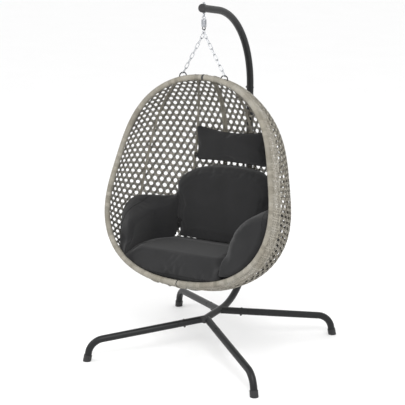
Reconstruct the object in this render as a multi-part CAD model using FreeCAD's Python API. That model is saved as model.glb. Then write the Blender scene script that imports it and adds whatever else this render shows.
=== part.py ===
"""Hanging egg chair: a four-legged tube stand, a spring hanger with two chains, and a wicker egg basket.

Millimetres, +Z up. The origin is on the floor at the centre of the four feet, and the chair faces -Y.
The basket has its own frame: x across, u up along the rim's plane, and v backwards into the egg.
"""
import FreeCAD
import Part
import math
import os
from FreeCAD import Vector

# Stand
FOOT_HALF_SPACING = 500.0       # feet stand at plus and minus this on X and Y
TUBE_R = 19.0                   # outer radius of every stand tube
TUBE_WALL = 1.5
SPINE_Z = 195.0
SPINE_FRONT_Y = -104.0
LOWER_ARC_Y = 95.0              # the spine turns up into the pole from here
LOWER_ARC_R = 335.0
POLE_Y = LOWER_ARC_Y + LOWER_ARC_R
LOWER_JOINT_Z = 800.0
UPPER_JOINT_Z = 1355.0
UPPER_ARC_Z = 1400.0
UPPER_ARC_R = 450.0
ARM_RISE = math.radians(8.8)    # the arm climbs towards its free end
ARM_END_Y = -124.0
NECK_LENGTH = 60.0              # swaged neck that plugs into the next tube
NECK_CLEARANCE = 0.3
SWAGE_LENGTH = 6.0
TUBE_GAP = 0.4                  # between the ends of two tubes that plug together
SLEEVE_CLEARANCE = 0.1          # between a tube and a plastic part round it
CAP_WALL = 2.8                  # end caps
CAP_ROUND = 2.2
CAP_REACH = 3.0
CAP_PLUG_LENGTH = 8.0
CAP_PLUG_CLEARANCE = 0.2
ARM_CAP_LENGTH = 8.0
SPINE_CAP_LENGTH = 8.0
CAP_NOTCH_GAP = 0.3             # round the leg sockets that notch the spine's cap

# Legs
LEG_ROOT_Y = 76.0
LEG_ROOT_Z = 192.0
LEG_SLOPE = math.radians(7.35)
SHIN_LEAN = math.radians(11.0)
LEG_BEND_R = 90.0
SOCKET_LENGTH = 155.0
SOCKET_BORE_START = 40.0        # the socket is solid up to here, where it meets the spine
FOOT_R = 22.0
FOOT_HEIGHT = 34.0
FOOT_SOLE = 6.0
FOOT_ROUND = 1.8

# Fasteners of the stand
BOLT_R = 3.0
BOLT_GRIP = TUBE_R + 0.1        # from a bolt's middle to the seat of its head
BOLT_FROM_MOUTH = 30.0          # each tube joint's bolt, from the mouth of the outer tube
DRILL = 40.0                    # half length of a drill that goes right through a tube
BOLT_HOLE_R = 3.2
BOLT_HEAD_R = 6.0
BOLT_HEAD_H = 3.5
BOLT_END = 5.0                  # length of shank inside the cap nut
CAP_NUT_R = 5.8
CAP_NUT_H = 8.0
CAP_NUT_FLATS = 10.44
CAP_NUT_FLATS_H = 3.0
CAP_NUT_DEPTH = 5.2             # its blind hole
CAP_NUT_BORE_R = 3.1

# Basket
RIM_TILT = math.radians(15.36)  # the top of the rim leans back
RIM_CENTRE = Vector(0, -264.5, 1006.5)
EGG = (525.9, -23.5, 36.8, 22.5, -15.5)     # rim radius: cosine terms of the angle from the top
DEPTH = 397.0
SIDE_POWER = 3.0                # how square the egg is from side to side
TALL_POWER = 2.3                # and from top to bottom
SIDE_BULGE = 0.08
TALL_BULGE = 0.033
DROP = 46.0                     # the back of the egg sits this much lower than the rim
WEAVE_T = 6.0
RIM_V = 12.0                    # rim tube centre, behind the rim's plane
RIM_TUBE_R = 10.0
RIM_TUBE_WALL = 1.6
WRAP_R = 14.0
WRAP_GAP = 0.2
SHELL_V = RIM_V + WRAP_R + 0.6
SHELL_LAP = 4.0                 # how far the inner egg that hollows the shell starts before it
SEAM = 2.4                      # between the wicker of the basket's halves
TUBE_SEAM = 0.6
PIN_R = 6.8                     # pins inside the rim tube at its seams
PIN_HALF = 25.0
LEVELS = (0.2, 0.38, 0.55, 0.7, 0.82, 0.91, 0.965, 0.992)
LEVEL_POINTS = 28

# Basket ribs, each in a plane x = offset + v * tan(lean), and the slots that they leave in the weave
RIB_R = 5.0
RIBS = {
    "centre": (7.0, 0.0),
    "inner": (45.0, math.radians(20.0)),
    "outer": (90.0, math.radians(51.0)),
}
SLOT_HALF = RIB_R + 0.3
CENTRE_SLOT = 18.0
RIB_POINTS = 13
RIB_ROOT_V = 21.6               # the ribs fan out from a line at this depth
SEAM_BOLT_R = 2.5               # the bolts that join the twin centre ribs
SEAM_HOLE_R = 2.6
SEAM_HEAD_R = 4.4
SEAM_HEAD_H = 2.6
SEAM_TAIL = 3.0
SEAM_NUT = 8.0
SEAM_NUT_H = 3.6
SEAM_REACH = 12.2               # from the seam to the seats of the heads and nuts
SEAM_SHARES = (0.16, 0.38, 0.62, 0.84)      # where along the ribs

# Hanging gear
RING_X = 120.0
RING_R = 20.0
RING_WIRE_R = 3.0
RING_ROOT = 4.0                 # how far its legs go on below the wrap's radius
RING_HOLE = 0.15                # room round it in the wrap
WELD_GAP = 0.05
EYE_R = 8.0
EYE_WIRE_R = 2.75
EYE_SHANK_R = 4.0
RUNNING_CLEARANCE = 0.06
SADDLE_R = 9.5
SADDLE_REACH = 21.5             # from the arm's axis to the flat of each saddle washer
COLLAR_H = 2.5
COLLAR_R = 7.5
EYE_STEM = 2.0                  # between the collar and the eye
EYE_SHANK_TOP = 10.0            # beyond the upper saddle
EYE_NUT = 13.0
EYE_NUT_H = 6.5
EYE_NUT_RING_R = 5.6
EYE_NUT_RING_H = 2.0
THREAD_GAP = 0.05
SADDLE_GAP = 0.1
HOOK_WIRE_R = 2.25
HOOK_R = 8.5
COIL_R = 12.0
COIL_WIRE_R = 2.0
COIL_LENGTH = 40.0
COIL_PITCH = 4.4
COIL_END = 1.0                  # the coil's wire starts this far from each of its ends
PLUG_CONE_H = 5.0               # the cones that hold the loops in the coil's end turns
PLUG_CONE_GAP = 0.4
LINK_WIRE_R = 2.0
LINK_INNER_WIDTH = 11.0
LINKS = 8
SHACKLE_R = 10.0
SHACKLE_STRAIGHT = 2.0
TOUCH = 0.3                     # gap left between wires that hang on each other
RING_TOUCH = 1.3                # more where the lowest links hang aslant on the rings
CHAIN_SIDE_STEP = 2.4           # the two top links sit side by side on the shackle

# Cushions; they balance the basket so that it hangs level under its two rings
CUSHION_GAP = 9.0               # from the egg's outer surface
RIGHT_ARM_GAP = 36.0
CUSHION_RIM_GAP = 31.0
CUSHION_FRONT_Y = -480.0        # the cushions' blocks reach from here to there before the egg trims them
CUSHION_BACK_Y = 220.0
CUSHION_FAR_X = 600.0
SEAT_BOTTOM_Z = 478.0
SEAT_TOP_Z = 618.0
SEAT_RIGHT_X = (235.0, 289.0)   # the seat's right side, at its front and its back
BACK_SLIT = 2.0                 # between the seat and the back cushion
BACK_FRONT_LOW = Vector(0, -42, 618)    # the back cushion's front leans back between these
BACK_FRONT_HIGH = Vector(0, 22, 1005)
BACK_LOW_X = (-190.0, 250.0)
BACK_SPARE = 80.0               # its block starts this far behind the egg, and its front plane overlaps by it
BACK_TOP = (                    # the back cushion's rounded top, from left to right: x and z
    (-240, 880), (-222, 938), (-160, 978), (-55, 1008), (80, 1020),
    (215, 1010), (310, 975), (345, 920), (335, 860),
)
LEFT_ARM_Z = (478.0, 832.0)
LEFT_ARM_FACE = (               # plan of the left arm cushion's inner face: x and y, from front to back
    (-347, -480), (-331, -340), (-320, -200), (-291, -105),
    (-236, -50), (-200, 20), (-193, 110), (-191, 220),
)
LEFT_ARM_EDGE_R = 35.0
RIGHT_ARM_FACE = (              # front view of the right arm cushion's round shoulder: x and z, upwards
    (222, 552), (225, 609), (237, 685), (259, 763), (300, 821), (340, 853), (395, 872),
)
RIGHT_ARM_SPLAY = 59.0          # its inner face stands this much further out at the back
PILLOW_CENTRE = Vector(72, 72, 1127)
PILLOW_SIZE = (425.0, 72.0, 186.0)
PILLOW_CORNER_R = 22.0

X_AXIS = Vector(1, 0, 0)
Y_AXIS = Vector(0, 1, 0)
Z_AXIS = Vector(0, 0, 1)


# ---------------------------------------------------------------- general shapes

def save(name, shape):
    """Write one sub-part, and say how large it is."""
    if not shape.isValid():
        shape = shape.removeSplitter()
    shape.exportStep(os.path.join("parts", name + ".step"))
    print(f"{name:24s} solids {len(shape.Solids):2d} valid {shape.isValid()} volume {shape.Volume:12.0f}")


def rod(start, end, radius):
    """A round bar between two points."""
    along = end - start
    return Part.makeCylinder(radius, along.Length, start, along)


def sweep(path, radius):
    """A round bar along a smooth wire."""
    first = path.Edges[0]
    start = first.valueAt(first.FirstParameter)
    tangent = first.tangentAt(first.FirstParameter)
    section = Part.Wire(Part.Circle(start, tangent, radius).toShape())
    return path.makePipeShell([section], True, True)


def hollow(path, radius, wall):
    """A round tube along a smooth wire, open at both ends."""
    return sweep(path, radius).cut(sweep(path, radius - wall))


def ring(centre, axis, mean_r, wire_r):
    """A closed ring of round wire."""
    return Part.makeTorus(mean_r, wire_r, centre, axis)


def hexagon(centre, axis, across_flats, height):
    """A hexagonal nut or head that stands on centre."""
    side = across_flats / math.sqrt(3.0)
    angles = [i * math.pi / 3 for i in range(7)]
    corners = [Vector(side * math.cos(angle), side * math.sin(angle), 0) for angle in angles]
    prism = Part.Face(Part.makePolygon(corners)).extrude(Vector(0, 0, height))
    prism.Placement = FreeCAD.Placement(centre, FreeCAD.Rotation(Z_AXIS, axis))
    return prism


def turned(outline, base, axis):
    """A turned part: the outline, which lies in the XZ plane, is spun about Z, and Z becomes the axis."""
    solid = Part.Face(Part.Wire(outline)).revolve(Vector(0, 0, 0), Z_AXIS, 360)
    solid.Placement = FreeCAD.Placement(base, FreeCAD.Rotation(Z_AXIS, axis))
    return solid


def dome_arc(radius, height):
    """The rounded side of a low round head, from its rim to its top."""
    ball_r = (radius * radius + height * height) / (2 * height)
    half = math.asin(radius / ball_r) / 2
    middle = Vector(ball_r * math.sin(half), 0, height - ball_r * (1 - math.cos(half)))
    return Part.Arc(Vector(radius, 0, 0), middle, Vector(0, 0, height)).toShape()


def dome(centre, axis, radius, height):
    """A low round head that stands on centre."""
    base = Part.makePolygon([Vector(0, 0, height), Vector(0, 0, 0), Vector(radius, 0, 0)])
    return turned(base.Edges + [dome_arc(radius, height)], centre, axis)


def bolt(middle, axis, half_grip):
    """A domed bolt whose shank runs right through and ends in the cap nut on the other side."""
    shank_end = -2 * half_grip - BOLT_END
    sides = Part.makePolygon([
        Vector(0, 0, BOLT_HEAD_H),
        Vector(0, 0, shank_end),
        Vector(BOLT_R, 0, shank_end),
        Vector(BOLT_R, 0, 0),
        Vector(BOLT_HEAD_R, 0, 0),
    ])
    return turned(sides.Edges + [dome_arc(BOLT_HEAD_R, BOLT_HEAD_H)], middle + axis * half_grip, axis)


def cap_nut(middle, axis, half_grip):
    """The closed nut that the bolt ends in."""
    seat = middle - axis * half_grip
    body = dome(seat, axis * -1, CAP_NUT_R, CAP_NUT_H)
    body = body.fuse(hexagon(seat, axis * -1, CAP_NUT_FLATS, CAP_NUT_FLATS_H))
    return body.cut(rod(seat, seat - axis * CAP_NUT_DEPTH, CAP_NUT_BORE_R))


def swaged_neck(mouth, axis):
    """The narrowed end of a tube: a short cone, then the neck that goes into the next tube."""
    neck_r = TUBE_R - TUBE_WALL - NECK_CLEARANCE
    start = mouth - axis * SWAGE_LENGTH
    outside = Part.makeCone(TUBE_R, neck_r, SWAGE_LENGTH, start, axis)
    outside = outside.fuse(rod(mouth, mouth + axis * NECK_LENGTH, neck_r))
    inside = Part.makeCone(TUBE_R - TUBE_WALL, neck_r - TUBE_WALL, SWAGE_LENGTH, start, axis)
    inside = inside.fuse(rod(mouth, mouth + axis * NECK_LENGTH, neck_r - TUBE_WALL))
    return outside.cut(inside)


# ---------------------------------------------------------------- stand

def leg_directions(side, end):
    """Root, plan direction and downhill direction of one leg; side and end are -1 or 1."""
    root = Vector(0, end * LEG_ROOT_Y, LEG_ROOT_Z)
    plan = Vector(side * FOOT_HALF_SPACING, end * FOOT_HALF_SPACING - root.y, 0)
    reach = plan.Length
    plan.normalize()
    down = plan * math.cos(LEG_SLOPE) - Z_AXIS * math.sin(LEG_SLOPE)
    return root, plan, down, reach


def lower_pole_path():
    """Spine, quarter bend and foot of the pole as one smooth wire."""
    centre = Vector(0, LOWER_ARC_Y, SPINE_Z + LOWER_ARC_R)
    bend_mid = centre + Vector(0, math.sin(math.pi / 4), -math.cos(math.pi / 4)) * LOWER_ARC_R
    spine_start = Vector(0, SPINE_FRONT_Y, SPINE_Z)
    spine_end = Vector(0, LOWER_ARC_Y, SPINE_Z)
    pole_start = Vector(0, POLE_Y, centre.z)
    pole_end = Vector(0, POLE_Y, LOWER_JOINT_Z - SWAGE_LENGTH)
    return Part.Wire([
        Part.LineSegment(spine_start, spine_end).toShape(),
        Part.Arc(spine_end, bend_mid, pole_start).toShape(),
        Part.LineSegment(pole_start, pole_end).toShape(),
    ])


def leg_bolt_place(side, end):
    """Middle and axis of the bolt through a leg's socket."""
    root, plan, down, _ = leg_directions(side, end)
    up = plan * math.sin(LEG_SLOPE) + Z_AXIS * math.cos(LEG_SLOPE)
    return root + down * (SOCKET_LENGTH - BOLT_FROM_MOUTH), up


def pole_drill(joint_z):
    """The bolt hole across a joint of the pole."""
    middle = Vector(0, POLE_Y, joint_z + BOLT_FROM_MOUTH)
    return rod(middle - X_AXIS * DRILL, middle + X_AXIS * DRILL, BOLT_HOLE_R)


def leg_drill(side, end):
    """The bolt hole across a leg's socket."""
    middle, up = leg_bolt_place(side, end)
    return rod(middle - up * DRILL, middle + up * DRILL, BOLT_HOLE_R)


def lower_pole():
    """The spine with four welded leg sockets, bent up into the bottom of the pole."""
    path = lower_pole_path()
    outside = sweep(path, TUBE_R)
    inside = sweep(path, TUBE_R - TUBE_WALL)
    holes = pole_drill(LOWER_JOINT_Z)
    for side in (-1, 1):
        for end in (-1, 1):
            root, _, down, _ = leg_directions(side, end)
            outside = outside.fuse(rod(root, root + down * SOCKET_LENGTH, TUBE_R))
            bore_start = root + down * SOCKET_BORE_START
            inside = inside.fuse(rod(bore_start, root + down * (SOCKET_LENGTH + 1), TUBE_R - TUBE_WALL))
            holes = holes.fuse(leg_drill(side, end))
    body = outside.cut(inside)
    body = body.fuse(swaged_neck(Vector(0, POLE_Y, LOWER_JOINT_Z), Z_AXIS))
    return body.cut(holes)


def middle_pole():
    """The straight length of pole between the two joints."""
    start = Vector(0, POLE_Y, LOWER_JOINT_Z + TUBE_GAP)
    end = Vector(0, POLE_Y, UPPER_JOINT_Z - SWAGE_LENGTH)
    tube = rod(start, end, TUBE_R).cut(rod(start, end, TUBE_R - TUBE_WALL))
    body = tube.fuse(swaged_neck(Vector(0, POLE_Y, UPPER_JOINT_Z), Z_AXIS))
    for z in (LOWER_JOINT_Z, UPPER_JOINT_Z):
        body = body.cut(pole_drill(z))
    return body


def arm_geometry():
    """Centre of the upper bend, its end, and the unit direction of the arm."""
    centre = Vector(0, POLE_Y - UPPER_ARC_R, UPPER_ARC_Z)
    turn = math.pi / 2 - ARM_RISE
    bend_end = centre + Vector(0, math.cos(turn), math.sin(turn)) * UPPER_ARC_R
    direction = Vector(0, -math.sin(turn), math.cos(turn))
    return centre, turn, bend_end, direction


def arm_z(y):
    """Height of the arm's axis at a given Y."""
    _, _, bend_end, _ = arm_geometry()
    return bend_end.z + (bend_end.y - y) * math.tan(ARM_RISE)


def upper_pole():
    """The pole's top: a short straight, the big forward bend, and the rising arm."""
    centre, turn, bend_end, _ = arm_geometry()
    start = Vector(0, POLE_Y, UPPER_JOINT_Z + TUBE_GAP)
    bend_start = Vector(0, POLE_Y, UPPER_ARC_Z)
    bend_mid = centre + Vector(0, math.cos(turn / 2), math.sin(turn / 2)) * UPPER_ARC_R
    arm_end = Vector(0, ARM_END_Y, arm_z(ARM_END_Y))
    path = Part.Wire([
        Part.LineSegment(start, bend_start).toShape(),
        Part.Arc(bend_start, bend_mid, bend_end).toShape(),
        Part.LineSegment(bend_end, arm_end).toShape(),
    ])
    body = hollow(path, TUBE_R, TUBE_WALL)
    body = body.cut(pole_drill(UPPER_JOINT_Z))
    hang = hang_point()
    top = arm_z(hang.y)
    low = Vector(0, hang.y, top - DRILL)
    high = Vector(0, hang.y, top + DRILL)
    return body.cut(rod(low, high, EYE_SHANK_R + RUNNING_CLEARANCE))


def end_cap(mouth, axis, length):
    """A plastic cap that sleeves a tube's end, with a plug inside the tube."""
    start = mouth - axis * CAP_REACH
    cover = rod(start, start + axis * length, TUBE_R + CAP_WALL)
    cover = cover.makeFillet(CAP_ROUND, [cover.Edges[0], cover.Edges[2]])
    cover = cover.cut(rod(start - axis, mouth, TUBE_R + SLEEVE_CLEARANCE))
    plug = rod(mouth - axis * CAP_PLUG_LENGTH, mouth, TUBE_R - TUBE_WALL - CAP_PLUG_CLEARANCE)
    return cover.fuse(plug)


def spine_end_cap():
    """The cap on the spine's front end, notched by the two front leg sockets."""
    cap = end_cap(Vector(0, SPINE_FRONT_Y, SPINE_Z), Y_AXIS * -1, SPINE_CAP_LENGTH)
    for side in (-1, 1):
        root, _, down, _ = leg_directions(side, -1)
        cap = cap.cut(rod(root, root + down * SOCKET_LENGTH, TUBE_R + CAP_NOTCH_GAP))
    return cap.Solids[0]


def leg(side, end):
    """One leg: neck, long sloping run, tight bend, and a short shin down to the foot."""
    root, plan, down, reach = leg_directions(side, end)
    mouth = root + down * SOCKET_LENGTH
    shin = plan * math.sin(SHIN_LEAN) - Z_AXIS * math.cos(SHIN_LEAN)
    slope = math.tan(LEG_SLOPE)
    lean = math.tan(SHIN_LEAN)
    knee_z = (root.z - reach * slope) / (1 - lean * slope)
    knee = Vector(root.x, root.y, 0) + plan * (reach - knee_z * lean) + Z_AXIS * knee_z
    turn = math.pi / 2 - LEG_SLOPE - SHIN_LEAN
    tangent = LEG_BEND_R * math.tan(turn / 2)
    bend_start = knee - down * tangent
    bend_end = knee + shin * tangent
    inward = (shin - down).normalize()
    bend_mid = knee + inward * (LEG_BEND_R / math.cos(turn / 2) - LEG_BEND_R)
    shin_end = knee + shin * ((knee_z - FOOT_SOLE) / math.cos(SHIN_LEAN))
    path = Part.Wire([
        Part.LineSegment(mouth + down * (SWAGE_LENGTH + TUBE_GAP), bend_start).toShape(),
        Part.Arc(bend_start, bend_mid, bend_end).toShape(),
        Part.LineSegment(bend_end, shin_end).toShape(),
    ])
    body = hollow(path, TUBE_R, TUBE_WALL).fuse(swaged_neck(mouth + down * TUBE_GAP, down * -1))
    return body.cut(leg_drill(side, end))


def foot(side, end):
    """A plastic foot round the bottom of a shin, cut level with the floor."""
    _, plan, _, _ = leg_directions(side, end)
    shin = plan * math.sin(SHIN_LEAN) - Z_AXIS * math.cos(SHIN_LEAN)
    ground = Vector(side * FOOT_HALF_SPACING, end * FOOT_HALF_SPACING, 0)
    sole = ground - shin * (FOOT_SOLE / math.cos(SHIN_LEAN))
    top = ground - shin * FOOT_HEIGHT
    cup = rod(top, ground + shin * FOOT_SOLE, FOOT_R)
    rims = [edge for edge in cup.Edges if edge.Closed and edge.CenterOfMass.z > FOOT_SOLE]
    cup = cup.makeFillet(FOOT_ROUND, rims)
    cup = cup.cut(rod(top - shin, sole, TUBE_R + SLEEVE_CLEARANCE))
    floor_cut = Part.makeBox(4 * FOOT_R, 4 * FOOT_R, FOOT_R, ground - Vector(2 * FOOT_R, 2 * FOOT_R, FOOT_R))
    return cup.cut(floor_cut)


# ---------------------------------------------------------------- basket geometry

def place(x, u, v):
    """A point of the basket's own frame in the chair's frame."""
    sin_t = math.sin(RIM_TILT)
    cos_t = math.cos(RIM_TILT)
    return RIM_CENTRE + Vector(x, u * sin_t + v * cos_t, u * cos_t - v * sin_t)


def rim_radius(angle):
    """Radius of the egg's rim; the angle is measured from the top."""
    return sum(term * math.cos(i * angle) for i, term in enumerate(EGG))


def level_scales(k):
    """Width and height of the egg's section at depth fraction k, as shares of the rim's."""
    swell = 4 * k * (1 - k)
    across = (1 - k ** SIDE_POWER) ** (1 / SIDE_POWER) * (1 + SIDE_BULGE * swell)
    tall = (1 - k ** TALL_POWER) ** (1 / TALL_POWER) * (1 + TALL_BULGE * swell)
    return across, tall


def level_wire(v, inset):
    """The egg's outline at depth v, moved inwards by inset."""
    k = v / (DEPTH - inset)
    across, tall = level_scales(k)
    points = []
    for i in range(LEVEL_POINTS):
        angle = 2 * math.pi * i / LEVEL_POINTS
        r = rim_radius(angle) - inset
        points.append(place(r * math.sin(angle) * across, r * math.cos(angle) * tall - DROP * k, v))
    curve = Part.BSplineCurve()
    curve.interpolate(Points=points, PeriodicFlag=True)
    return Part.Wire(curve.toShape())


def egg_solid(first_v, inset):
    """A solid egg back from depth first_v, inset from the outer surface."""
    depth = DEPTH - inset
    wires = [level_wire(first_v, inset)]
    wires += [level_wire(k * depth, inset) for k in LEVELS]
    return Part.makeLoft(wires, True, False)


def egg_ratio(x, u, v, inset):
    """Below 1 inside the egg, above 1 outside."""
    k = v / (DEPTH - inset)
    if k >= 1:
        return 2.0
    across, tall = level_scales(k)
    flat_x = x / across
    flat_u = (u + DROP * k) / tall
    return math.hypot(flat_x, flat_u) / (rim_radius(math.atan2(flat_x, flat_u)) - inset)


def rib_path(side, name):
    """A rib's centre line on the middle of the weave, from the rim's top round the back to its bottom."""
    offset, lean = RIBS[name]
    points = []
    for i in range(RIB_POINTS):
        angle = math.pi * i / (RIB_POINTS - 1)
        near = 0.0
        far = 900.0
        while far - near > 0.001:
            middle = (near + far) / 2
            v = RIB_ROOT_V + middle * math.sin(angle) * math.cos(lean)
            if egg_ratio(offset + v * math.tan(lean), middle * math.cos(angle), v, WEAVE_T / 2) < 1:
                near = middle
            else:
                far = middle
        v = RIB_ROOT_V + near * math.sin(angle) * math.cos(lean)
        points.append(place(side * (offset + v * math.tan(lean)), near * math.cos(angle), v))
    curve = Part.BSplineCurve()
    curve.interpolate(Points=points)
    return Part.Wire(curve.toShape())


def slot_plate(side, name):
    """The flat slab that a rib's plane takes out of the weave."""
    offset, lean = RIBS[name]
    reach = 1.5 * EGG[0]
    overrun = 50.0
    deep = DEPTH + overrun
    corners = []
    for u, v in ((-reach, -overrun), (reach, -overrun), (reach, deep), (-reach, deep), (-reach, -overrun)):
        corners.append(place(side * (offset + v * math.tan(lean)), u, v))
    face = Part.Face(Part.makePolygon(corners))
    normal = place(side * math.cos(lean), 0, -math.sin(lean)) - RIM_CENTRE
    face.translate(normal * -SLOT_HALF)
    return face.extrude(normal * (2 * SLOT_HALF))


def weave_panels():
    """The woven shell, cut into three panels a side by the ribs; the largest x comes last."""
    shell = egg_solid(SHELL_V, 0).cut(egg_solid(SHELL_V - SHELL_LAP, WEAVE_T))
    shell = shell.cut(seam_gap(2 * CENTRE_SLOT))
    for side in (-1, 1):
        for name in ("inner", "outer"):
            shell = shell.cut(slot_plate(side, name))
    panels = sorted(shell.Solids, key=lambda solid: solid.CenterOfMass.x)
    return panels


def rim_wire(side):
    """Half of the rim's centre line, from the top seam to the bottom seam."""
    points = []
    steps = 14
    for i in range(steps + 1):
        angle = math.pi * i / steps
        r = rim_radius(angle) - WRAP_R
        points.append(place(side * r * math.sin(angle), r * math.cos(angle), RIM_V))
    curve = Part.BSplineCurve()
    curve.interpolate(Points=points)
    return Part.Wire(curve.toShape())


def seam_gap(width):
    """A slab that opens the seam between the basket's halves."""
    size = 4 * EGG[0]
    return Part.makeBox(width, size, size, RIM_CENTRE - Vector(width, size, size) / 2)


def rim_tube(side):
    """The steel tube of one half of the rim."""
    return hollow(rim_wire(side), RIM_TUBE_R, RIM_TUBE_WALL).cut(seam_gap(TUBE_SEAM))


def rim_wrap(side):
    """The wicker wrapped round one half of the rim."""
    path = rim_wire(side)
    wrap = sweep(path, WRAP_R).cut(sweep(path, RIM_TUBE_R + WRAP_GAP)).cut(seam_gap(SEAM))
    for name in RIBS:
        wrap = wrap.cut(sweep(rib_path(side, name), RIB_R + SLEEVE_CLEARANCE))
    return wrap.cut(hanging_ring(side, RING_WIRE_R + RING_HOLE))


def rib(side, name):
    """One steel rib; the twin centre ribs have holes for the seam bolts."""
    body = sweep(rib_path(side, name), RIB_R)
    if name == "centre":
        for middle in seam_places():
            body = body.cut(rod(middle - X_AXIS * CENTRE_SLOT, middle + X_AXIS * CENTRE_SLOT, SEAM_HOLE_R))
    return body


def seam_places():
    """Middles of the bolts that hold the two halves together, on the plane x = 0."""
    path = rib_path(1, "centre")
    edge = path.Edges[0]
    places = []
    for share in SEAM_SHARES:
        at = edge.valueAt(edge.FirstParameter + share * (edge.LastParameter - edge.FirstParameter))
        places.append(Vector(0, at.y, at.z))
    return places


def seam_bolts():
    """Socket bolts across the twin centre ribs."""
    solids = []
    for middle in seam_places():
        seat = middle + X_AXIS * SEAM_REACH
        shank = rod(middle - X_AXIS * (SEAM_REACH + SEAM_TAIL), seat, SEAM_BOLT_R)
        solids.append(shank.fuse(dome(seat, X_AXIS, SEAM_HEAD_R, SEAM_HEAD_H)))
    return Part.makeCompound(solids)


def seam_nuts():
    """Nuts of the seam bolts."""
    solids = []
    for middle in seam_places():
        seat = middle - X_AXIS * SEAM_REACH
        nut = hexagon(seat, X_AXIS * -1, SEAM_NUT, SEAM_NUT_H)
        solids.append(nut.cut(rod(seat - X_AXIS * SEAM_NUT, middle, SEAM_HOLE_R)))
    return Part.makeCompound(solids)


def rim_joint_plugs():
    """Pins inside the rim tube that line up its halves at the top and bottom seams."""
    solids = []
    for angle in (0.0, math.pi):
        r = rim_radius(angle) - WRAP_R
        middle = place(0, r * math.cos(angle), RIM_V)
        solids.append(rod(middle - X_AXIS * PIN_HALF, middle + X_AXIS * PIN_HALF, PIN_R))
    return Part.makeCompound(solids)


# ---------------------------------------------------------------- hanging gear

def ring_root_u():
    """Height of the rim's centre line where a hanging ring stands, in basket coordinates."""
    low = 0.0
    high = 0.6
    while high - low > 1e-6:
        angle = (low + high) / 2
        if (rim_radius(angle) - WRAP_R) * math.sin(angle) < RING_X:
            low = angle
        else:
            high = angle
    return (rim_radius(low) - WRAP_R) * math.cos(low)


def hang_point():
    """The middle of the wire at the top of the hanging rings, on the plane x = 0."""
    u = ring_root_u() + WRAP_R + RING_R
    return place(0, u, RIM_V)


def hanging_ring(side, wire_r):
    """A steel staple welded to the rim tube: a half ring on two short legs."""
    u = ring_root_u()
    centre = place(side * RING_X, u + WRAP_R, RIM_V)
    up = place(0, 1, 0) - RIM_CENTRE
    left = centre - X_AXIS * RING_R
    right = centre + X_AXIS * RING_R
    path = Part.Wire([
        Part.LineSegment(left - up * (WRAP_R + RING_ROOT), left).toShape(),
        Part.Arc(left, centre + up * RING_R, right).toShape(),
        Part.LineSegment(right, right - up * (WRAP_R + RING_ROOT)).toShape(),
    ])
    return sweep(path, wire_r).cut(sweep(rim_wire(side), RIM_TUBE_R + WELD_GAP))


def saddle_washers():
    """Two plastic saddles that fit the arm's round top and bottom and give the eye bolt flat faces."""
    hang = hang_point()
    z = arm_z(hang.y)
    _, _, bend_end, _ = arm_geometry()
    arm_end = ARM_END_Y - SADDLE_REACH
    arm = rod(bend_end, Vector(0, arm_end, arm_z(arm_end)), TUBE_R + SADDLE_GAP)
    solids = []
    for sign in (-1, 1):
        block = rod(Vector(0, hang.y, z), Vector(0, hang.y, z + sign * SADDLE_REACH), SADDLE_R)
        far = Vector(0, hang.y, z + sign * 2 * SADDLE_REACH)
        hole = rod(Vector(0, hang.y, z), far, EYE_SHANK_R + RUNNING_CLEARANCE)
        solids.append(block.cut(arm).cut(hole).Solids[0])
    return Part.makeCompound(solids)


def eye_centre():
    """Centre of the eye bolt's eye."""
    hang = hang_point()
    return Vector(0, hang.y, arm_z(hang.y) - SADDLE_REACH - SADDLE_GAP - COLLAR_H - EYE_R - EYE_STEM)


def eye_bolt():
    """The bolt that turns in the arm, with a collar and an eye below."""
    hang = hang_point()
    z = arm_z(hang.y)
    collar_top = Vector(0, hang.y, z - SADDLE_REACH - SADDLE_GAP)
    shank = rod(collar_top, Vector(0, hang.y, z + SADDLE_REACH + EYE_SHANK_TOP), EYE_SHANK_R)
    collar = rod(collar_top - Z_AXIS * COLLAR_H, collar_top, COLLAR_R)
    eye = ring(eye_centre(), X_AXIS, EYE_R, EYE_WIRE_R)
    return shank.fuse(collar).fuse(eye)


def eye_lock_nut():
    """The lock nut on top of the arm."""
    hang = hang_point()
    seat = Vector(0, hang.y, arm_z(hang.y) + SADDLE_REACH + SADDLE_GAP)
    ring_seat = seat + Z_AXIS * EYE_NUT_H
    nut = hexagon(seat, Z_AXIS, EYE_NUT, EYE_NUT_H)
    nut = nut.fuse(rod(ring_seat, ring_seat + Z_AXIS * EYE_NUT_RING_H, EYE_NUT_RING_R))
    return nut.cut(rod(seat, seat + Z_AXIS * EYE_NUT, EYE_SHANK_R + THREAD_GAP))


def fore_aft_pivot():
    """Middle of the wire where the spring's top loop hangs in the eye."""
    return eye_centre() - Z_AXIS * (EYE_R - EYE_WIRE_R - HOOK_WIRE_R - TOUCH)


def spring_top_z():
    """Top of the coil."""
    return fore_aft_pivot().z - 2 * HOOK_R


def plug_cone(start, axis):
    """The cone that a loop ends in, which sits inside the coil's end turns."""
    return Part.makeCone(HOOK_WIRE_R, COIL_R - COIL_WIRE_R - PLUG_CONE_GAP, PLUG_CONE_H, start, axis)


def spring_top_loop():
    """The spring's upper loop, and the tail that runs down inside the first turns."""
    top = fore_aft_pivot()
    loop = ring(top - Z_AXIS * HOOK_R, Y_AXIS, HOOK_R, HOOK_WIRE_R)
    bottom = Vector(0, top.y, spring_top_z())
    return loop.fuse(plug_cone(bottom, Z_AXIS * -1))


def hanger_spring():
    """The close-wound extension spring."""
    top = Vector(0, fore_aft_pivot().y, spring_top_z() - COIL_END)
    helix = Part.makeHelix(COIL_PITCH, COIL_LENGTH - 2 * COIL_END, COIL_R)
    helix.translate(top - Z_AXIS * (COIL_LENGTH - COIL_END))
    return sweep(Part.Wire(helix.Edges), COIL_WIRE_R)


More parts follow.
